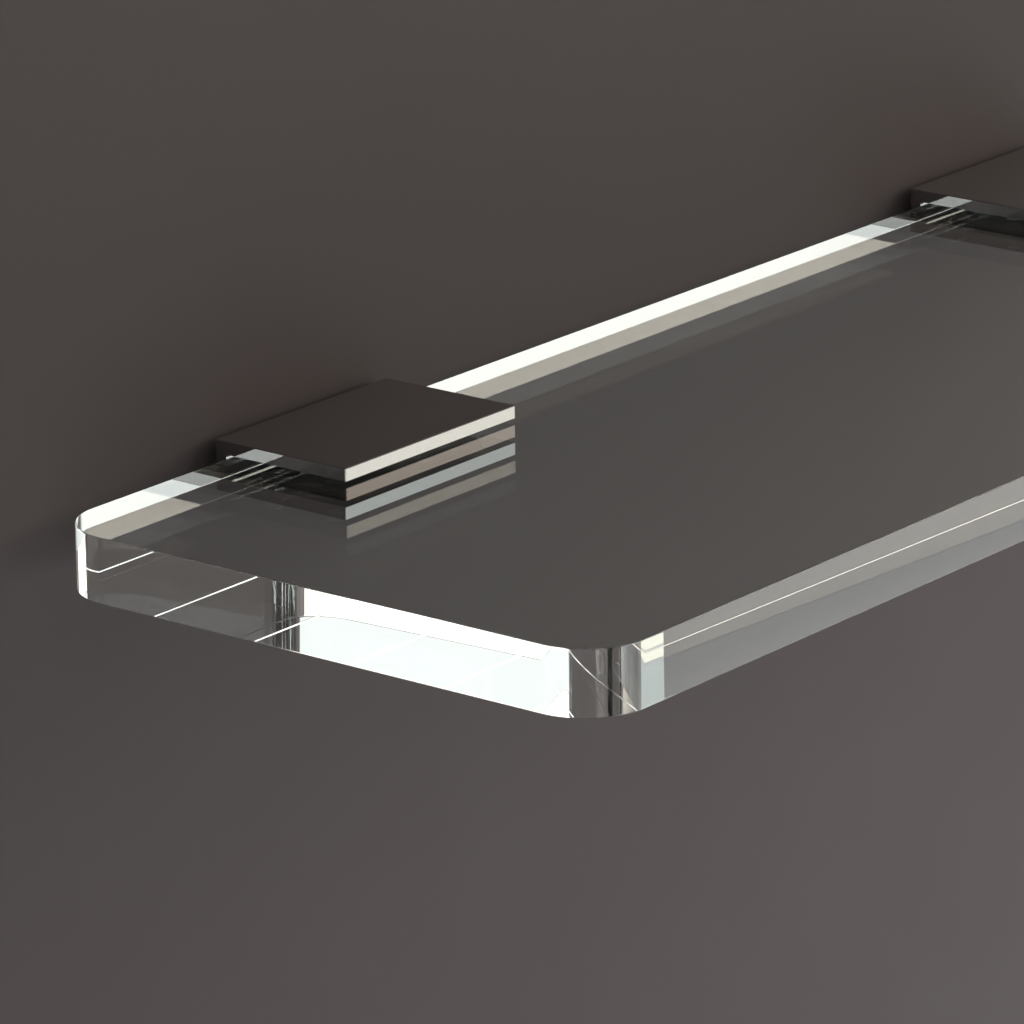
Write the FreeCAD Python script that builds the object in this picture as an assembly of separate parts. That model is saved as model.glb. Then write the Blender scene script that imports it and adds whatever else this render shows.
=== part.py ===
"""Wall shelf: one thick clear glass panel held by two C-shaped clamp brackets.

Frame, in millimetres: the wall is the plane y = 0, the shelf reaches out towards -Y, +X runs along
the shelf and +Z is up. The origin is on the wall, midway between the brackets, level with the middle
of the glass. Each bracket is a polished channel that hangs 2.5 mm off the wall on a smaller hidden
wall plate. The glass slides into the channel between soft pads. Two grub screws in the lower jaw turn
behind swivelling tips, which come up through the lower pad and press the glass against the upper one.
"""

import FreeCAD, Part
import math
import os

V = FreeCAD.Vector

# Glass panel
GLASS_LENGTH = 450.0
GLASS_DEPTH = 150.0
GLASS_THICKNESS = 15.0
GLASS_CORNER_RADIUS = 15.0
GLASS_EDGE_RADIUS = 0.25  # polished along the top and bottom outlines

# Bracket channel
BRACKET_PITCH = 270.0  # between the centres of the two brackets
BRACKET_WIDTH = 60.0
BRACKET_REACH = 40.0  # from the wall to the front of the jaws
JAW_THICKNESS = 3.0
WEB_THICKNESS = 3.0
WALL_GAP = 2.5  # shadow gap between the wall and the channel
CHANNEL_CHAMFER = 0.2

# Soft pads
PAD_THICKNESS = 0.8
REAR_PAD_THICKNESS = 0.5
REAR_PAD_WIDTH = 18.0  # just over the two bracket screws
PAD_INSET = 5.0  # from the edges of the jaws, out of sight
PAD_CORNER_RADIUS = 1.0
REAR_PAD_HEIGHT = 9.0

# Wall plate
PLATE_WIDTH = 50.0
PLATE_HEIGHT = 17.0
PLATE_CORNER_RADIUS = 2.0

# Wall screws and plugs: 4 mm countersunk screws in 6 mm plugs
WALL_SCREW_PITCH = 36.0
WALL_SCREW_RADIUS = 1.9
WALL_SCREW_LENGTH = 35.0
WALL_SCREW_POINT = 5.0
WALL_SCREW_HEAD_RADIUS = 3.7
WALL_SCREW_HEAD_RECESS = 0.1  # below the plate's front face
CROSS_SLOT = (0.9, 4.2, 1.5)  # width, length, depth
PLUG_RADIUS = 3.0
PLUG_LENGTH = 30.0
PLUG_SLIT_WIDTH = 0.9
PLUG_SLIT_LENGTH = 20.0
PLUG_TIP_CHAMFER = 0.6

# Bracket screws: M4 x 5 countersunk, through the web into the wall plate
BRACKET_SCREW_PITCH = 12.0
BRACKET_SCREW_RADIUS = 2.0
BRACKET_SCREW_LENGTH = 5.0
BRACKET_SCREW_HEAD_RADIUS = 3.8
BRACKET_SCREW_SOCKET = (2.5, 1.6)  # across flats, depth

# Clamp screws: M4 x 3 grub screws in the lower jaw, each with a swivelling tip
CLAMP_SCREW_PITCH = 30.0
CLAMP_SCREW_RADIUS = 2.0
CLAMP_SCREW_FROM_WALL = 24.0
CLAMP_SCREW_SOCKET = (2.0, 1.6)
CLAMP_SCREW_CHAMFER = 0.3
TIP_RADIUS = 1.9
TIP_STUD_RADIUS = 0.8
TIP_STUD_LENGTH = 0.9
TIP_HOLE_RADIUS = 2.3  # in the lower pad

RUNNING_CLEARANCE = 0.05  # radial, around every screw
SCREW_HOLE_CLEARANCE = 0.3  # radial, around the wall screws' shanks in the plate

# Places worked out from the sizes above
GLASS_HALF = GLASS_THICKNESS / 2
JAW_INNER = GLASS_HALF + PAD_THICKNESS
JAW_OUTER = JAW_INNER + JAW_THICKNESS
WEB_FRONT = -(WALL_GAP + WEB_THICKNESS)
GLASS_REAR = WEB_FRONT - REAR_PAD_THICKNESS
GLASS_FRONT = GLASS_REAR - GLASS_DEPTH
OVERCUT = 1.0  # how far a cutting tool runs past a face


def box(low, high):
    """A box between two opposite corners."""
    size = [h - l for l, h in zip(low, high)]
    return Part.makeBox(*size, V(*low))


def cylinder_y(radius, x, z, start, end):
    """A cylinder along +Y."""
    return Part.makeCylinder(radius, end - start, V(x, start, z), V(0, 1, 0))


def cone_y(radius_start, radius_end, x, z, start, end):
    """A cone along +Y."""
    return Part.makeCone(radius_start, radius_end, end - start, V(x, start, z), V(0, 1, 0))


def hexagon_prism(across_flats, depth, centre, direction):
    """A hexagonal prism that starts at centre and runs along direction."""
    normal = V(*direction).normalize()
    side = V(1, 0, 0)
    up = normal.cross(side)
    corner_radius = across_flats / math.sqrt(3)
    corners = []
    for k in range(7):
        angle = math.radians(60 * k)
        outward = side * math.cos(angle) + up * math.sin(angle)
        corners.append(V(*centre) + outward * corner_radius)
    return Part.Face(Part.makePolygon(corners)).extrude(normal * depth)


def edges_in_plane(shape, axis, value):
    """The edges that lie in the plane where one coordinate has this value."""
    found = []
    for edge in shape.Edges:
        if all(abs(getattr(v.Point, axis) - value) < 1e-6 for v in edge.Vertexes):
            low = getattr(edge.BoundBox, axis.upper() + "Min")
            high = getattr(edge.BoundBox, axis.upper() + "Max")
            if high - low < 1e-4:
                found.append(edge)
    return found


def rounded_plate(low, high, corner_radius, along):
    """A box with its four edges along one axis rounded."""
    plate = box(low, high)
    upright = [e for e in plate.Edges if abs(abs(e.tangentAt(e.FirstParameter).dot(along)) - 1) < 1e-6]
    return plate.makeFillet(corner_radius, upright)


def glass_shelf():
    """The clear panel, with round corners and finely rounded edges."""
    half = GLASS_LENGTH / 2
    panel = rounded_plate(
        (-half, GLASS_FRONT, -GLASS_HALF), (half, GLASS_REAR, GLASS_HALF), GLASS_CORNER_RADIUS, V(0, 0, 1)
    )
    outline = edges_in_plane(panel, "z", GLASS_HALF) + edges_in_plane(panel, "z", -GLASS_HALF)
    return panel.makeFillet(GLASS_EDGE_RADIUS, outline)


def bracket_body(x):
    """The C-shaped channel: a web and two jaws, with its clamp screw and bracket screw holes."""
    half = BRACKET_WIDTH / 2
    body = box((x - half, -BRACKET_REACH, -JAW_OUTER), (x + half, -WALL_GAP, JAW_OUTER))
    outer_edges = [e for e in body.Edges if e.BoundBox.YMin < -WALL_GAP - 1e-6]
    body = body.makeChamfer(CHANNEL_CHAMFER, outer_edges)
    throat = box(
        (x - half - OVERCUT, -BRACKET_REACH - OVERCUT, -JAW_INNER), (x + half + OVERCUT, WEB_FRONT, JAW_INNER)
    )
    body = body.cut(throat)
    for side in (-1, 1):
        clamp_x = x + side * CLAMP_SCREW_PITCH / 2
        thread = Part.makeCylinder(
            CLAMP_SCREW_RADIUS + RUNNING_CLEARANCE,
            JAW_THICKNESS + 2 * OVERCUT,
            V(clamp_x, -CLAMP_SCREW_FROM_WALL, -JAW_OUTER - OVERCUT),
        )
        screw_x = x + side * BRACKET_SCREW_PITCH / 2
        body = body.cut(thread).cut(bracket_screw_hole(screw_x, WEB_FRONT - OVERCUT, -WALL_GAP + OVERCUT))
    return body


def bracket_screw_hole(x, start, end):
    """The countersunk hole that a bracket screw passes through in the web."""
    radius = BRACKET_SCREW_RADIUS + RUNNING_CLEARANCE
    head_radius = BRACKET_SCREW_HEAD_RADIUS + RUNNING_CLEARANCE
    sink = cone_y(head_radius, radius, x, 0, WEB_FRONT, WEB_FRONT + head_radius - radius)
    mouth = cylinder_y(head_radius, x, 0, start, WEB_FRONT)
    return cylinder_y(radius, x, 0, start, end).fuse([sink, mouth])


def jaw_pad(x, z_low):
    """A thin pad on the inside of a jaw."""
    half = BRACKET_WIDTH / 2 - PAD_INSET
    return rounded_plate(
        (x - half, -BRACKET_REACH + PAD_INSET, z_low),
        (x + half, GLASS_REAR - PAD_INSET, z_low + PAD_THICKNESS),
        PAD_CORNER_RADIUS,
        V(0, 0, 1),
    )


def bottom_pad(x):
    """The pad on the lower jaw, with a hole for each clamp screw's tip."""
    pad = jaw_pad(x, -JAW_INNER)
    for side in (-1, 1):
        place = V(x + side * CLAMP_SCREW_PITCH / 2, -CLAMP_SCREW_FROM_WALL, -JAW_INNER - OVERCUT)
        pad = pad.cut(Part.makeCylinder(TIP_HOLE_RADIUS, PAD_THICKNESS + 2 * OVERCUT, place))
    return pad


def rear_pad(x):
    """The pad between the web and the rear edge of the glass, covering the bracket screws' heads."""
    half = REAR_PAD_WIDTH / 2
    return rounded_plate(
        (x - half, GLASS_REAR, -REAR_PAD_HEIGHT / 2),
        (x + half, WEB_FRONT, REAR_PAD_HEIGHT / 2),
        PAD_CORNER_RADIUS,
        V(0, 1, 0),
    )


def wall_plate(x):
    """The hidden plate on the wall, with two countersunk holes and two tapped ones."""
    half_width = PLATE_WIDTH / 2
    half_height = PLATE_HEIGHT / 2
    plate = rounded_plate(
        (x - half_width, -WALL_GAP, -half_height),
        (x + half_width, 0, half_height),
        PLATE_CORNER_RADIUS,
        V(0, 1, 0),
    )
    shank = WALL_SCREW_RADIUS + SCREW_HOLE_CLEARANCE
    head = WALL_SCREW_HEAD_RADIUS + RUNNING_CLEARANCE
    tapped = BRACKET_SCREW_RADIUS + RUNNING_CLEARANCE
    for side in (-1, 1):
        screw_x = x + side * WALL_SCREW_PITCH / 2
        seat = -WALL_GAP + WALL_SCREW_HEAD_RECESS
        plate = plate.cut(cylinder_y(shank, screw_x, 0, -WALL_GAP - OVERCUT, OVERCUT))
        plate = plate.cut(cylinder_y(head, screw_x, 0, -WALL_GAP - OVERCUT, seat))
        plate = plate.cut(cone_y(head, shank, screw_x, 0, seat, seat + head - shank))
        tapped_x = x + side * BRACKET_SCREW_PITCH / 2
        plate = plate.cut(cylinder_y(tapped, tapped_x, 0, -WALL_GAP - OVERCUT, OVERCUT))
    return plate


def wall_screw(x):
    """A countersunk wood screw with a cross recess. Its head sits in the wall plate."""
    top = -WALL_GAP + WALL_SCREW_HEAD_RECESS
    neck = top + WALL_SCREW_HEAD_RADIUS - WALL_SCREW_RADIUS
    end = top + WALL_SCREW_LENGTH
    head = cone_y(WALL_SCREW_HEAD_RADIUS, WALL_SCREW_RADIUS, x, 0, top, neck)
    shank = cylinder_y(WALL_SCREW_RADIUS, x, 0, neck, end - WALL_SCREW_POINT)
    point = cone_y(WALL_SCREW_RADIUS, WALL_SCREW_RADIUS / 8, x, 0, end - WALL_SCREW_POINT, end)
    screw = head.fuse([shank, point])
    width, length, depth = CROSS_SLOT
    for half_x, half_z in ((width / 2, length / 2), (length / 2, width / 2)):
        screw = screw.cut(box((x - half_x, top - OVERCUT, -half_z), (x + half_x, top + depth, half_z)))
    return screw.removeSplitter()


def wall_plug(x):
    """A plastic plug that fills its hole in the wall, split along the end that spreads."""
    plug = cylinder_y(PLUG_RADIUS, x, 0, 0, PLUG_LENGTH)
    plug = plug.makeChamfer(PLUG_TIP_CHAMFER, edges_in_plane(plug, "y", PLUG_LENGTH))
    plug = plug.cut(cylinder_y(WALL_SCREW_RADIUS + RUNNING_CLEARANCE, x, 0, -OVERCUT, PLUG_LENGTH + OVERCUT))
    half = PLUG_SLIT_WIDTH / 2
    start = (PLUG_LENGTH - PLUG_SLIT_LENGTH) / 2
    reach = PLUG_RADIUS + OVERCUT
    return plug.cut(box((x - half, start, -reach), (x + half, start + PLUG_SLIT_LENGTH, reach)))


def bracket_screw(x):
    """A short countersunk machine screw with a hexagon socket."""
    neck = WEB_FRONT + BRACKET_SCREW_HEAD_RADIUS - BRACKET_SCREW_RADIUS
    head = cone_y(BRACKET_SCREW_HEAD_RADIUS, BRACKET_SCREW_RADIUS, x, 0, WEB_FRONT, neck)
    shank = cylinder_y(BRACKET_SCREW_RADIUS, x, 0, neck, WEB_FRONT + BRACKET_SCREW_LENGTH)
    flats, depth = BRACKET_SCREW_SOCKET
    socket = hexagon_prism(flats, depth + OVERCUT, (x, WEB_FRONT - OVERCUT, 0), (0, 1, 0))
    return head.fuse(shank).cut(socket).removeSplitter()


def clamp_screw(x):
    """A grub screw in the lower jaw: a hexagon socket facing down and a bore for its tip on top."""
    top = -JAW_INNER - RUNNING_CLEARANCE
    screw = Part.makeCylinder(CLAMP_SCREW_RADIUS, top + JAW_OUTER, V(x, -CLAMP_SCREW_FROM_WALL, -JAW_OUTER))
    ends = edges_in_plane(screw, "z", -JAW_OUTER) + edges_in_plane(screw, "z", top)
    screw = screw.makeChamfer(CLAMP_SCREW_CHAMFER, ends)
    flats, depth = CLAMP_SCREW_SOCKET
    mouth = (x, -CLAMP_SCREW_FROM_WALL, -JAW_OUTER - OVERCUT)
    socket = hexagon_prism(flats, depth + OVERCUT, mouth, (0, 0, 1))
    bore_bottom = -JAW_INNER - TIP_STUD_LENGTH - RUNNING_CLEARANCE
    bore = Part.makeCylinder(
        TIP_STUD_RADIUS + RUNNING_CLEARANCE,
        top + OVERCUT - bore_bottom,
        V(x, -CLAMP_SCREW_FROM_WALL, bore_bottom),
    )
    return screw.cut(socket).cut(bore)


def clamp_tip(x):
    """The swivelling tip of a clamp screw: a disc under the glass on a stud in the screw's end."""
    disc = Part.makeCylinder(TIP_RADIUS, PAD_THICKNESS, V(x, -CLAMP_SCREW_FROM_WALL, -JAW_INNER))
    stud_bottom = V(x, -CLAMP_SCREW_FROM_WALL, -JAW_INNER - TIP_STUD_LENGTH)
    return disc.fuse(Part.makeCylinder(TIP_STUD_RADIUS, TIP_STUD_LENGTH, stud_bottom)).removeSplitter()


def bracket_parts(name, direction):
    """All the parts of one bracket. direction is -1 for the left bracket and 1 for the right one."""
    x = direction * BRACKET_PITCH / 2
    parts = {
        "bracket_body": bracket_body(x),
        "top_pad": jaw_pad(x, GLASS_HALF),
        "bottom_pad": bottom_pad(x),
        "rear_pad": rear_pad(x),
        "wall_plate": wall_plate(x),
    }
    for place, side in (("outer", direction), ("inner", -direction)):
        parts["wall_screw_" + place] = wall_screw(x + side * WALL_SCREW_PITCH / 2)
        parts["wall_plug_" + place] = wall_plug(x + side * WALL_SCREW_PITCH / 2)
        parts["bracket_screw_" + place] = bracket_screw(x + side * BRACKET_SCREW_PITCH / 2)
        parts["clamp_screw_" + place] = clamp_screw(x + side * CLAMP_SCREW_PITCH / 2)
        parts["clamp_tip_" + place] = clamp_tip(x + side * CLAMP_SCREW_PITCH / 2)
    return {name + "_" + key: shape for key, shape in parts.items()}


def main():
    os.makedirs("parts", exist_ok=True)
    shapes = {"glass_shelf": glass_shelf()}
    shapes.update(bracket_parts("left", -1))
    shapes.update(bracket_parts("right", 1))
    for node, shape in shapes.items():
        if not shape.isValid() or len(shape.Solids) != 1:
            raise SystemExit(node + " is not one valid solid")
        shape.Solids[0].exportStep("parts/" + node + ".step")
        print(node, round(shape.Volume, 1), "mm3")


main()
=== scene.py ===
"""Wall shelf: a thick clear glass panel in two polished clamp brackets, on a plain wall over a pale floor."""

import bpy
import math
from mathutils import Matrix, Vector


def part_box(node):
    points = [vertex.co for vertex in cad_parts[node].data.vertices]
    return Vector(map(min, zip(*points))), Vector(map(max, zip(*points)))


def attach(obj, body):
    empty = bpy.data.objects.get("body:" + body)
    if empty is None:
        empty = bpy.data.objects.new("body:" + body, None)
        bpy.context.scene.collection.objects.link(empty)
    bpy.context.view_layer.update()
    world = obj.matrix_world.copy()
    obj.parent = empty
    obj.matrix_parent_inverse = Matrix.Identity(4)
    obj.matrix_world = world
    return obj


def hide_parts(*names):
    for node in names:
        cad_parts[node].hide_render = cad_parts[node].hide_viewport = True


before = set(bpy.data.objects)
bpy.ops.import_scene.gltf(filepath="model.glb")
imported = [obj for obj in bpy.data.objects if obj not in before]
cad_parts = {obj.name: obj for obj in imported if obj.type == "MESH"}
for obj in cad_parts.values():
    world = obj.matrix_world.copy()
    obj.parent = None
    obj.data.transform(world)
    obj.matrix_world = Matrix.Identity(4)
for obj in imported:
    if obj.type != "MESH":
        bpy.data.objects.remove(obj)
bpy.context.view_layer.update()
SCENE = bpy.context.scene
MM = 0.001

# Where the shelf hangs and what surrounds it, in metres
FLOOR_LEVEL = -1.5
WALL_WIDTH = 4.0
WALL_HEIGHT = 3.2
FLOOR_SIZE = 12.0


# ---------------------------------------------------------------- camera

def aim_camera(azimuth, pitch, roll, target, distance, lens):
    """The camera looks down by pitch, turned by azimuth from +Y towards -X, angles in degrees."""
    a, e, r = (math.radians(angle) for angle in (azimuth, pitch, roll))
    ahead = Vector((-math.sin(a) * math.cos(e), math.cos(a) * math.cos(e), -math.sin(e)))
    level = Vector((math.cos(a), math.sin(a), 0.0))
    upward = level.cross(ahead)
    right = math.cos(r) * level + math.sin(r) * upward
    up = math.cos(r) * upward - math.sin(r) * level
    data = bpy.data.cameras.new("camera")
    data.sensor_width = 36.0
    data.lens = lens
    data.clip_start = 0.01
    data.clip_end = 50.0
    camera = bpy.data.objects.new("camera", data)
    facing = Matrix((right, up, -ahead)).transposed().to_4x4()
    camera.matrix_world = Matrix.Translation(target - ahead * distance) @ facing
    SCENE.collection.objects.link(camera)
    SCENE.camera = camera


aim_camera(azimuth=-51.544, pitch=17.565, roll=-0.712, target=Vector((-0.15723, -0.08019, 0.00688)),
           distance=1.37948, lens=224.44)


# ---------------------------------------------------------------- shader building blocks

def node_group(name, inputs, outputs):
    """An empty shader node group with its sockets. inputs: (name, kind, default). outputs: (name, kind)."""
    tree = bpy.data.node_groups.new(name, "ShaderNodeTree")
    kinds = {"number": "NodeSocketFloat", "colour": "NodeSocketColor", "vector": "NodeSocketVector"}
    for socket, kind, default in inputs:
        made = tree.interface.new_socket(socket, in_out="INPUT", socket_type=kinds[kind])
        made.default_value = default
    for socket, kind in outputs:
        tree.interface.new_socket(socket, in_out="OUTPUT", socket_type=kinds[kind])
    return tree, tree.nodes.new("NodeGroupInput"), tree.nodes.new("NodeGroupOutput")


def add(tree, kind, settings=None, **inputs):
    """Adds a node, sets its properties and fills its inputs with values or links."""
    node = tree.nodes.new(kind)
    for key, value in (settings or {}).items():
        setattr(node, key, value)
    for key, value in inputs.items():
        socket = node.inputs[int(key[1:])] if key[0] == "_" else node.inputs[key.replace("_", " ")]
        if isinstance(value, bpy.types.NodeSocket):
            tree.links.new(value, socket)
        else:
            socket.default_value = value
    return node


def object_place(tree):
    return add(tree, "ShaderNodeTexCoord").outputs["Object"]


def calc(tree, operation, *values):
    """One sum on numbers or fields."""
    given = {f"_{k}": value for k, value in enumerate(values)}
    return add(tree, "ShaderNodeMath", {"operation": operation}, **given).outputs[0]


def noise(tree, place, scale, detail, roughness, distortion=0.0):
    """Soft noise from 0 to 1. scale is its bumps per metre."""
    made = add(tree, "ShaderNodeTexNoise", None, Vector=place, Scale=scale, Detail=detail,
               Roughness=roughness, Distortion=distortion)
    return made.outputs["Fac"]


def above(tree, value, start, full):
    """0 below start, 1 over full, and a slope between."""
    return add(tree, "ShaderNodeMapRange", None, Value=value, From_Min=start, From_Max=full).outputs["Result"]


def handling_marks_group():
    """Faint smudges and hair-fine scratches: an uneven roughness and a small height."""
    tree, given, result = node_group(
        "handling marks",
        [("Roughness", "number", 0.05), ("Smudge", "number", 0.05), ("Scratch", "number", 0.03),
         ("Size", "number", 1.0)],
        [("Roughness", "number"), ("Height", "number"), ("Smudges", "number")],
    )
    amount = given.outputs
    place = object_place(tree)
    sized = add(tree, "ShaderNodeVectorMath", {"operation": "SCALE"}, _0=place, Scale=amount["Size"])
    smudges = above(tree, noise(tree, sized.outputs[0], 45.0, 5.0, 0.6, distortion=0.8), 0.5, 0.72)
    drawn_out = add(tree, "ShaderNodeMapping", None, Vector=sized.outputs[0], Rotation=(0.3, 0.5, 0.6),
                    Scale=(60.0, 2600.0, 900.0))
    hairs = above(tree, noise(tree, drawn_out.outputs[0], 1.0, 3.0, 0.5), 0.66, 0.74)
    smudged = calc(tree, "MULTIPLY_ADD", smudges, amount["Smudge"], amount["Roughness"])
    tree.links.new(calc(tree, "MULTIPLY_ADD", hairs, amount["Scratch"], smudged), result.inputs["Roughness"])
    tree.links.new(hairs, result.inputs["Height"])
    tree.links.new(smudges, result.inputs["Smudges"])
    return tree


def fine_grain_group():
    """The close grain of moulded, plated or painted stuff: a height, and a colour that varies with it."""
    tree, given, result = node_group(
        "fine grain",
        [("Colour", "colour", (0.5, 0.5, 0.5, 1.0)), ("Vary", "number", 0.1), ("Grain Size", "number", 0.5),
         ("Roughness", "number", 0.5), ("Roughness Vary", "number", 0.1)],
        [("Colour", "colour"), ("Roughness", "number"), ("Height", "number")],
    )
    amount = given.outputs
    place = object_place(tree)
    grain = noise(tree, place, calc(tree, "DIVIDE", 1 / MM, amount["Grain Size"]), 3.0, 0.6)
    patch = noise(tree, place, 38.0, 4.0, 0.55)
    swing = calc(tree, "SUBTRACT", calc(tree, "ADD", grain, patch), 1.0)
    colour = add(tree, "ShaderNodeHueSaturation", None, Color=amount["Colour"],
                 Value=calc(tree, "MULTIPLY_ADD", swing, amount["Vary"], 1.0))
    rough = calc(tree, "MULTIPLY_ADD", swing, amount["Roughness Vary"], amount["Roughness"])
    tree.links.new(colour.outputs[0], result.inputs["Colour"])
    tree.links.new(rough, result.inputs["Roughness"])
    tree.links.new(grain, result.inputs["Height"])
    return tree


HANDLING_MARKS = handling_marks_group()
FINE_GRAIN = fine_grain_group()


def placed(tree, group, **inputs):
    return add(tree, "ShaderNodeGroup", {"node_tree": group}, **inputs)


def new_material(name):
    material = bpy.data.materials.new(name)
    material.use_nodes = True
    return material, material.node_tree, material.node_tree.nodes["Principled BSDF"]


def set_bump(tree, shader, height, strength, distance):
    bump = add(tree, "ShaderNodeBump", None, Height=height, Strength=strength, Distance=distance)
    tree.links.new(bump.outputs[0], shader.inputs["Normal"])


def marked_material(name, colour, metallic, roughness, smudge, scratch, size, scratch_depth):
    """A smooth finish with handling marks: chrome, steel or glass before its own settings."""
    material, tree, shader = new_material(name)
    marks = placed(tree, HANDLING_MARKS, Roughness=roughness, Smudge=smudge, Scratch=scratch, Size=size)
    shader.inputs["Base Color"].default_value = (*colour, 1.0)
    shader.inputs["Metallic"].default_value = metallic
    tree.links.new(marks.outputs["Roughness"], shader.inputs["Roughness"])
    if scratch_depth:
        set_bump(tree, shader, marks.outputs["Height"], 1.0, scratch_depth)
    return material, shader


def grained_material(name, colour, vary, grain_size, roughness, rough_vary, metallic, depth):
    """A finish with a close grain: rubber, nylon, zinc plate or paint."""
    material, tree, shader = new_material(name)
    grain = placed(tree, FINE_GRAIN, Colour=(*colour, 1.0), Vary=vary, Grain_Size=grain_size,
                   Roughness=roughness, Roughness_Vary=rough_vary)
    tree.links.new(grain.outputs["Colour"], shader.inputs["Base Color"])
    tree.links.new(grain.outputs["Roughness"], shader.inputs["Roughness"])
    shader.inputs["Metallic"].default_value = metallic
    set_bump(tree, shader, grain.outputs["Height"], 1.0, depth)
    return material, shader


GLASS_INDEX = 1.42  # of refraction; plate glass is usually nearer 1.52
COAT_INDEX = 1.7


def clear_glass(name, coat):
    """Clear glass with a faint cool tint. A coat adds a painted sheen: the surface that has it looks lighter
    than the same glass without it.
    """
    material, shader = marked_material(name, (0.915, 0.985, 0.97), metallic=0.0, roughness=0.0,
                                       smudge=0.0015, scratch=0.0, size=1.0, scratch_depth=0.0)
    shader.inputs["Transmission Weight"].default_value = 1.0
    shader.inputs["IOR"].default_value = GLASS_INDEX
    shader.inputs["Coat Weight"].default_value = coat
    shader.inputs["Coat IOR"].default_value = COAT_INDEX
    shader.inputs["Coat Roughness"].default_value = 0.0
    return material


def polished_chrome():
    return marked_material("polished chrome", (0.465, 0.464, 0.46), metallic=1.0, roughness=0.012,
                           smudge=0.01, scratch=0.01, size=1.0, scratch_depth=0.0)[0]


CLEAR_GLASS = clear_glass("clear glass", coat=0.0)
# The front edge's own copy of the glass: its coat is a painted sheen that makes that face look lighter.
GLASS_FRONT_SHEEN = clear_glass("glass front with painted sheen", coat=0.8)
POLISHED_CHROME = polished_chrome()
SOFT_PAD = grained_material("soft pad", (0.03, 0.03, 0.032), vary=0.3, grain_size=0.35,
                            roughness=0.7, rough_vary=0.1, metallic=0.0, depth=0.00003)[0]
ZINC_PLATE = grained_material("zinc plate", (0.45, 0.45, 0.46), vary=0.25, grain_size=0.9,
                              roughness=0.38, rough_vary=0.15, metallic=1.0, depth=0.00001)[0]
ZINC_SCREW = grained_material("zinc screw", (0.55, 0.54, 0.50), vary=0.25, grain_size=0.5,
                              roughness=0.32, rough_vary=0.15, metallic=1.0, depth=0.00001)[0]
BRIGHT_SCREW = marked_material("bright screw", (0.58, 0.58, 0.59), metallic=1.0, roughness=0.16,
                               smudge=0.08, scratch=0.1, size=3.0, scratch_depth=0.000004)[0]
PLUG_PLASTIC = grained_material("plug plastic", (0.38, 0.40, 0.43), vary=0.15, grain_size=0.6,
                                roughness=0.5, rough_vary=0.1, metallic=0.0, depth=0.00002)[0]
NYLON_TIP = grained_material("nylon tip", (0.78, 0.77, 0.72), vary=0.08, grain_size=0.4,
                             roughness=0.42, rough_vary=0.1, metallic=0.0, depth=0.00001)[0]


# ---------------------------------------------------------------- glass panel

def rounded_outline(low, high, radius, inset, steps):
    """Points and outward normals round a rectangle with round corners, counter-clockwise seen from above."""
    points = []
    centres = [(high[0] - radius, high[1] - radius, 0), (low[0] + radius, high[1] - radius, 90),
               (low[0] + radius, low[1] + radius, 180), (high[0] - radius, low[1] + radius, 270)]
    for cx, cy, start in centres:
        for k in range(steps + 1):
            angle = math.radians(start + 90 * k / steps)
            out = Vector((math.cos(angle), math.sin(angle), 0.0))
            points.append((Vector((cx, cy, 0.0)) + out * (radius - inset), out))
    return points


AIR_GAP = 0.02 * MM  # between the glass and the pads, so that light still turns back inside the glass there
GLASS_CORNER_RADIUS = 15 * MM
GLASS_EDGE_RADIUS = 0.25 * MM
CORNER_STEPS = 48
EDGE_STEPS = 5


def glass_panel():
    """The clear panel: rings of points up its edge profile, with exact normals to bend light truly."""
    low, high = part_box("glass_shelf")
    gap = Vector((AIR_GAP,) * 3)
    low, high = low + gap, high - gap
    quarter = [math.radians(90 * k / EDGE_STEPS) for k in range(EDGE_STEPS + 1)]
    profile = [(low.z + GLASS_EDGE_RADIUS, -angle) for angle in reversed(quarter)]
    profile += [(high.z - GLASS_EDGE_RADIUS, angle) for angle in quarter]
    mesh = bpy.data.meshes.new("glass_panel")
    verts, faces, normals, rings = [], [], [], []
    for level, angle in profile:
        inset = GLASS_EDGE_RADIUS * (1 - math.cos(angle))
        outline = rounded_outline(low, high, GLASS_CORNER_RADIUS, inset, CORNER_STEPS)
        rings.append(range(len(verts), len(verts) + len(outline)))
        for point, out in outline:
            verts.append((point.x, point.y, level + GLASS_EDGE_RADIUS * math.sin(angle)))
            normals.append(out * math.cos(angle) + Vector((0, 0, math.sin(angle))))
    for lower, upper in zip(rings, rings[1:]):
        faces += [(lower[k - 1], lower[k], upper[k], upper[k - 1]) for k in range(len(lower))]
    faces += [tuple(reversed(rings[0])), tuple(rings[-1])]
    mesh.from_pydata(verts, [], faces)
    mesh.materials.append(CLEAR_GLASS)
    mesh.materials.append(GLASS_FRONT_SHEEN)
    for polygon in mesh.polygons:
        polygon.use_smooth = True
        # The front edge takes the glass copy with the painted sheen.
        on_front_edge = polygon.normal.y < -0.99
        polygon.material_index = 1 if on_front_edge else 0
    mesh.normals_split_custom_set_from_vertices(normals)
    panel = bpy.data.objects.new("glass_panel", mesh)
    SCENE.collection.objects.link(panel)
    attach(panel, "glass_panel")
    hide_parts("glass_shelf")
    return panel


glass_panel()


# ---------------------------------------------------------------- screws and plugs

OVERCUT = 1 * MM  # how far a bore's cutter sticks out


def shape_tree(name, sizes):
    """A new Geometry Nodes tree with named sizes (metres, counts and choices) and a finish."""
    tree = bpy.data.node_groups.new(name, "GeometryNodeTree")
    kinds = {bool: "NodeSocketBool", int: "NodeSocketInt", float: "NodeSocketFloat"}
    for label, value in sizes:
        tree.interface.new_socket(label, in_out="INPUT", socket_type=kinds[type(value)]).default_value = value
    tree.interface.new_socket("Finish", in_out="INPUT", socket_type="NodeSocketMaterial")
    tree.interface.new_socket("Geometry", in_out="OUTPUT", socket_type="NodeSocketGeometry")
    return tree, tree.nodes.new("NodeGroupInput").outputs


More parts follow.
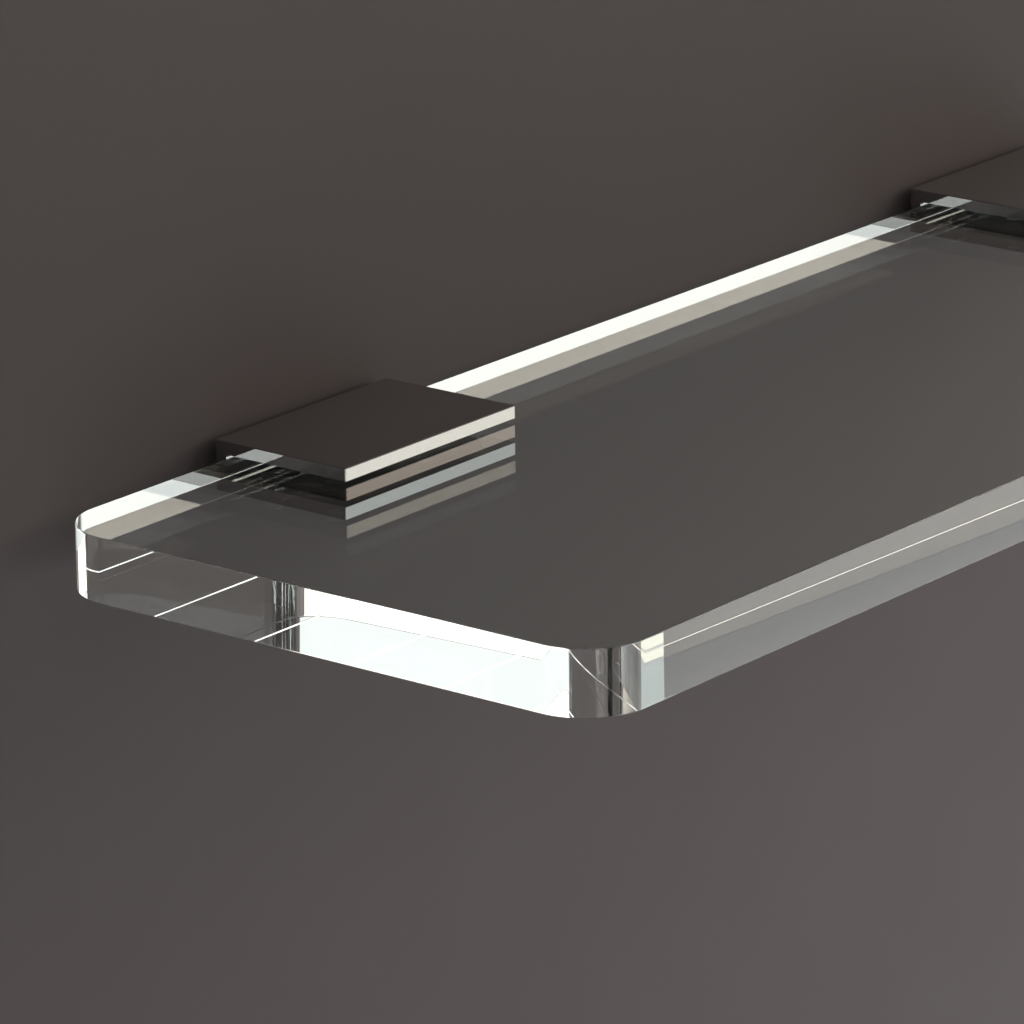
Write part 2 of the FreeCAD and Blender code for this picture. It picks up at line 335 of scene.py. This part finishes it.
def turned_bar(tree, size, radius_at):
    """A closed bar along +Z from 0 to Length, whose radius is radius_at(height, angle)."""
    bar = add(tree, "GeometryNodeMeshCylinder", {"fill_type": "NGON"}, Vertices=size["Around"],
              Side_Segments=size["Along"], Radius=1.0, Depth=size["Length"])
    position = add(tree, "GeometryNodeInputPosition").outputs[0]
    spot = add(tree, "ShaderNodeSeparateXYZ", None, _0=position).outputs
    height = calc(tree, "MULTIPLY_ADD", size["Length"], 0.5, spot["Z"])
    radius = radius_at(height, calc(tree, "ARCTAN2", spot["Y"], spot["X"]))
    moved = add(tree, "ShaderNodeCombineXYZ", None, X=calc(tree, "MULTIPLY", spot["X"], radius),
                Y=calc(tree, "MULTIPLY", spot["Y"], radius), Z=height).outputs[0]
    mesh = bar.outputs["Mesh"]
    return add(tree, "GeometryNodeSetPosition", None, Geometry=mesh, Position=moved).outputs[0]


def block(tree, x, y, z, middle):
    """A box of these sizes with its middle at this height, for cutting."""
    cube = add(tree, "GeometryNodeMeshCube", None,
               Size=add(tree, "ShaderNodeCombineXYZ", None, X=x, Y=y, Z=z).outputs[0]).outputs["Mesh"]
    return lifted(tree, cube, middle)


def rod(tree, sides, radius, depth, middle):
    """A round or many-sided rod with its middle at this height, for cutting."""
    made = add(tree, "GeometryNodeMeshCylinder", {"fill_type": "NGON"}, Vertices=sides, Radius=radius,
               Depth=depth)
    return lifted(tree, made.outputs["Mesh"], middle)


def lifted(tree, mesh, middle):
    move = add(tree, "ShaderNodeCombineXYZ", None, Z=middle).outputs[0]
    return add(tree, "GeometryNodeTransform", None, Geometry=mesh, Translation=move).outputs[0]


def cut_and_close(tree, size, mesh, cutters):
    """Cut these away, make the result real and give it its finish."""
    cutting = {"operation": "DIFFERENCE", "solver": "MANIFOLD"}
    for cutter in cutters:
        cut = add(tree, "GeometryNodeMeshBoolean", cutting, Mesh_1=mesh)
        tree.links.new(cutter, cut.inputs["Mesh 2"])
        mesh = cut.outputs["Mesh"]
    real = add(tree, "GeometryNodeRealizeInstances", None, Geometry=mesh).outputs[0]
    done = add(tree, "GeometryNodeSetMaterial", None, Geometry=real, Material=size["Finish"]).outputs[0]
    tree.links.new(done, tree.nodes.new("NodeGroupOutput").inputs["Geometry"])
    return tree


def threaded_screw_tree():
    """A screw from its head down: cone under the head, thread, point, cross or hexagon socket, and bore."""
    tree, size = shape_tree("threaded screw", [
        ("Radius", 0.002), ("Length", 0.01), ("Head Radius", 0.002), ("Pitch", 0.0007),
        ("Thread Depth", 0.00035), ("Point Radius", 0.0016), ("Point Length", 0.0004), ("Cross", False),
        ("Socket Across", 0.0025), ("Socket Width", 0.0008), ("Socket Depth", 0.0012),
        ("Bore Radius", 0.0005), ("Bore Depth", -0.0001), ("Around", 32), ("Along", 60)])
    across, width = size["Socket Across"], size["Socket Width"]

    def radius_at(height, angle):
        turn = calc(tree, "MULTIPLY_ADD", angle, 0.5 / math.pi, calc(tree, "DIVIDE", height, size["Pitch"]))
        flank = calc(tree, "ABSOLUTE", calc(tree, "MULTIPLY_ADD", calc(tree, "FRACT", turn), 2.0, -1.0))
        groove = calc(tree, "MULTIPLY", flank, size["Thread Depth"])
        thread = calc(tree, "SUBTRACT", size["Radius"], groove)
        headed = calc(tree, "MAXIMUM", thread, calc(tree, "SUBTRACT", size["Head Radius"], height))
        drop = calc(tree, "SUBTRACT", size["Radius"], size["Point Radius"])
        slope = calc(tree, "DIVIDE", drop, size["Point Length"])
        left = calc(tree, "SUBTRACT", size["Length"], height)
        return calc(tree, "MINIMUM", headed, calc(tree, "MULTIPLY_ADD", left, slope, size["Point Radius"]))

    def either(hexagon, cross):
        return add(tree, "GeometryNodeSwitch", {"input_type": "GEOMETRY"}, Switch=size["Cross"],
                   _2=cross, **hexagon).outputs[0]

    mesh = turned_bar(tree, size, radius_at)
    deep = calc(tree, "MULTIPLY", size["Socket Depth"], 2.0)
    hexagon = rod(tree, 6, calc(tree, "DIVIDE", across, math.sqrt(3)), deep, 0.0)
    sockets = [either({"_1": hexagon}, block(tree, across, width, deep, 0.0)),
               either({}, block(tree, width, across, deep, 0.0))]
    bore_length = calc(tree, "ADD", size["Bore Depth"], OVERCUT)
    bore_middle = calc(tree, "MULTIPLY_ADD", bore_length, -0.5, calc(tree, "ADD", size["Length"], OVERCUT))
    bore = rod(tree, 24, size["Bore Radius"], bore_length, bore_middle)
    return cut_and_close(tree, size, mesh, [*sockets, bore])


def ribbed_plug_tree():
    """A wall plug from its mouth: a plain collar, saw-tooth ribs, a bore right through and a slit."""
    tree, size = shape_tree("ribbed plug", [
        ("Radius", 0.003), ("Length", 0.03), ("Collar", 0.003), ("Rib Pitch", 0.0018), ("Rib Depth", 0.0005),
        ("Nose", 0.0012), ("Bore Radius", 0.00195), ("Slit Width", 0.0008), ("Slit Length", 0.02),
        ("Around", 32), ("Along", 100)])

    def radius_at(height, angle):
        along = calc(tree, "SUBTRACT", height, size["Collar"])
        tooth = calc(tree, "FRACT", calc(tree, "DIVIDE", along, size["Rib Pitch"]))
        ribbed = calc(tree, "GREATER_THAN", height, size["Collar"])
        deep = calc(tree, "MULTIPLY", calc(tree, "MULTIPLY", tooth, ribbed), size["Rib Depth"])
        nose = calc(tree, "SUBTRACT", calc(tree, "ADD", size["Length"], size["Radius"]),
                    calc(tree, "ADD", height, size["Nose"]))
        return calc(tree, "MINIMUM", calc(tree, "SUBTRACT", size["Radius"], deep), nose)

    mesh = turned_bar(tree, size, radius_at)
    middle = calc(tree, "MULTIPLY", size["Length"], 0.5)
    bore = rod(tree, 32, size["Bore Radius"], calc(tree, "MULTIPLY", size["Length"], 1.2), middle)
    wide = calc(tree, "MULTIPLY", size["Radius"], 3.0)
    slit = block(tree, size["Slit Width"], wide, size["Slit Length"], middle)
    return cut_and_close(tree, size, mesh, [bore, slit])


def made_piece(name, tree, finish, sizes, axis, body):
    """Run a tree with these sizes and put the result where the CAD node of that name lies along its axis."""
    low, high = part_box(name)
    middle = (low + high) / 2
    start = Vector((middle.x, low.y, middle.z)) if axis == "y" else Vector((middle.x, middle.y, low.z))
    turn = Matrix.Rotation(math.radians(-90), 4, "X") if axis == "y" else Matrix.Identity(4)
    given = {**sizes, "Length": (high - low)["xyz".index(axis)], "Finish": finish}
    piece = bpy.data.objects.new(name + "_look", bpy.data.meshes.new(name + "_look"))
    SCENE.collection.objects.link(piece)
    modifier = piece.modifiers.new("shape", "NODES")
    modifier.node_group = tree
    for socket in tree.interface.items_tree:
        if socket.in_out == "INPUT" and socket.name in given:
            modifier[socket.identifier] = given[socket.name]
    depsgraph = bpy.context.evaluated_depsgraph_get()
    mesh = bpy.data.meshes.new_from_object(piece.evaluated_get(depsgraph), depsgraph=depsgraph)
    piece.modifiers.remove(modifier)
    mesh.transform(Matrix.Translation(start) @ turn)
    for polygon in mesh.polygons:
        polygon.use_smooth = True
    mesh.set_sharp_from_angle(angle=math.radians(32))
    piece.data = mesh
    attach(piece, body)
    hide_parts(name)


SCREW = threaded_screw_tree()
PLUG = ribbed_plug_tree()
BRACKET_SCREW_SIZES = {
    "Radius": 2 * MM, "Head Radius": 3.8 * MM, "Pitch": 0.7 * MM, "Thread Depth": 0.35 * MM,
    "Point Radius": 1.6 * MM, "Point Length": 0.4 * MM, "Socket Across": 2.5 * MM, "Socket Depth": 1.6 * MM,
    "Around": 32, "Along": 56}
CLAMP_SCREW_SIZES = {
    "Radius": 2 * MM, "Head Radius": 1.7 * MM, "Pitch": 0.7 * MM, "Thread Depth": 0.35 * MM,
    "Point Radius": 1.7 * MM, "Point Length": 0.3 * MM, "Socket Across": 2.0 * MM, "Socket Depth": 1.6 * MM,
    "Bore Radius": 0.85 * MM, "Bore Depth": 0.9 * MM, "Around": 40, "Along": 40}
WALL_SCREW_SIZES = {
    "Radius": 1.9 * MM, "Head Radius": 3.7 * MM, "Pitch": 1.8 * MM, "Thread Depth": 0.5 * MM,
    "Point Radius": 0.25 * MM, "Point Length": 5 * MM, "Cross": True, "Socket Across": 4.2 * MM,
    "Socket Width": 0.9 * MM, "Socket Depth": 1.5 * MM, "Around": 28, "Along": 170}
PLUG_SIZES = {
    "Radius": 3 * MM, "Collar": 3 * MM, "Rib Pitch": 2.25 * MM, "Rib Depth": 0.55 * MM, "Nose": 0.6 * MM,
    "Bore Radius": 1.95 * MM, "Slit Width": 0.9 * MM, "Slit Length": 20 * MM, "Around": 32, "Along": 120}
WALL_FASTENERS = [
    ("wall_screw", SCREW, ZINC_SCREW, WALL_SCREW_SIZES, "zinc_screw"),
    ("wall_plug", PLUG, PLUG_PLASTIC, PLUG_SIZES, "plug_plastic"),
    ("bracket_screw", SCREW, BRIGHT_SCREW, BRACKET_SCREW_SIZES, "stainless_screw"),
]

for side in ("left", "right"):
    for place in ("outer", "inner"):
        for kind, tree, finish, sizes, slot in WALL_FASTENERS:
            made_piece(f"{side}_{kind}_{place}", tree, finish, sizes, "y", "wall_brackets")
        made_piece(f"{side}_clamp_screw_{place}", SCREW, BRIGHT_SCREW, CLAMP_SCREW_SIZES, "z",
                   f"{side}_{place}_clamp_screw")


# ---------------------------------------------------------------- the CAD's own pieces

NODE_FINISHES = {
    "bracket_body": POLISHED_CHROME,
    "_pad": SOFT_PAD,
    "wall_plate": ZINC_PLATE,
    "clamp_tip": NYLON_TIP,
}
for node_name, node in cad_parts.items():
    for part, finish in NODE_FINISHES.items():
        if part in node_name:
            node.data.materials.clear()
            node.data.materials.append(finish)


# ---------------------------------------------------------------- wall, floor and light

def one_sided(material, shader):
    """Leave a paint out when seen from behind, so that the shelf's back and underside can be looked at."""
    tree = material.node_tree
    behind = add(tree, "ShaderNodeNewGeometry").outputs["Backfacing"]
    clear = add(tree, "ShaderNodeBsdfTransparent").outputs[0]
    mixed = add(tree, "ShaderNodeMixShader", None, _0=behind, _1=shader.outputs[0], _2=clear)
    tree.links.new(mixed.outputs[0], tree.nodes["Material Output"].inputs["Surface"])
    return material


def softbox(name, place, aim, width, height, power, colour):
    data = bpy.data.lights.new(name, "AREA")
    data.shape = "RECTANGLE"
    data.size = width
    data.size_y = height
    data.energy = power
    data.color = colour
    light = bpy.data.objects.new(name, data)
    place = Vector(place)
    facing = (Vector(aim) - place).to_track_quat("-Z", "Y").to_matrix().to_4x4()
    light.matrix_world = Matrix.Translation(place) @ facing
    SCENE.collection.objects.link(light)


def wall(level):
    """A painted wall in cells, left open behind the middle of each wall plate, where the plate covers it."""
    half = WALL_WIDTH / 2
    edge = 1.5 * MM
    (left, bottom), (left_end, top), (right, _), (right_end, _) = (
        (corner.x, corner.z) for side in ("left", "right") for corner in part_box(side + "_wall_plate"))
    columns = [-half, left + edge, left_end - edge, right + edge, right_end - edge, half]
    rows = [FLOOR_LEVEL, bottom + edge, top - edge, FLOOR_LEVEL + WALL_HEIGHT]
    verts = [(x, level, z) for z in rows for x in columns]
    cells = [(c, r) for r in range(3) for c in range(5) if (c, r) not in ((1, 1), (3, 1))]
    wide = len(columns)
    faces = [(r * wide + c, r * wide + c + 1, (r + 1) * wide + c + 1, (r + 1) * wide + c) for c, r in cells]
    return verts, faces


def backdrop(name, verts, faces, material):
    mesh = bpy.data.meshes.new(name)
    mesh.from_pydata(verts, [], faces)
    mesh.materials.append(material)
    panel = bpy.data.objects.new(name, mesh)
    SCENE.collection.objects.link(panel)


WALL_COLOUR = (0.069, 0.0592, 0.0625)
FLOOR_COLOUR = (0.74, 0.73, 0.71)
ROOM_COLOUR = (0.24, 0.205, 0.195)
WALL_PAINT = one_sided(*grained_material(
    "wall paint", WALL_COLOUR, vary=0.05, grain_size=0.8, roughness=0.72, rough_vary=0.06, metallic=0.0,
    depth=0.00001))
FLOOR_PAINT = one_sided(*grained_material(
    "pale floor", FLOOR_COLOUR, vary=0.06, grain_size=3.0, roughness=0.6, rough_vary=0.1, metallic=0.0,
    depth=0.0001))
backdrop("wall", *wall(0.3 * MM), WALL_PAINT)
half = FLOOR_SIZE / 2
backdrop("floor", [(-half, -half, FLOOR_LEVEL), (half, -half, FLOOR_LEVEL), (half, half, FLOOR_LEVEL),
                   (-half, half, FLOOR_LEVEL)], [(0, 1, 2, 3)], FLOOR_PAINT)
SHELF_MIDDLE = (-0.15, -0.08, 0.0)
softbox("low right softbox", (1.35, -1.25, -0.72), SHELF_MIDDLE, width=2.6, height=1.5,
        power=11.4, colour=(0.98, 1.0, 1.0))
softbox("high right softbox", (1.50, -1.42, 0.72), SHELF_MIDDLE, width=2.4, height=1.3,
        power=23.0, colour=(1.0, 0.87, 0.74))
softbox("low left softbox", (-1.65, -1.25, -0.72), SHELF_MIDDLE, width=2.4, height=1.5,
        power=10.0, colour=(0.98, 1.0, 1.0))
softbox("near low light", (0.58, -0.27, -0.52), (0.05, 0.0, -0.1), width=0.45, height=0.45,
        power=1.1, colour=(0.95, 1.0, 1.0))

world = bpy.data.worlds.new("room")
SCENE.world = world
world.use_nodes = True
world.node_tree.nodes["Background"].inputs["Color"].default_value = (*ROOM_COLOUR, 1.0)

INNER_BOUNCES = 64  # light turns back many times inside the glass before it comes out
SCENE.view_settings.view_transform = "Standard"
SCENE.cycles.max_bounces = INNER_BOUNCES
SCENE.cycles.transmission_bounces = INNER_BOUNCES
SCENE.cycles.glossy_bounces = INNER_BOUNCES
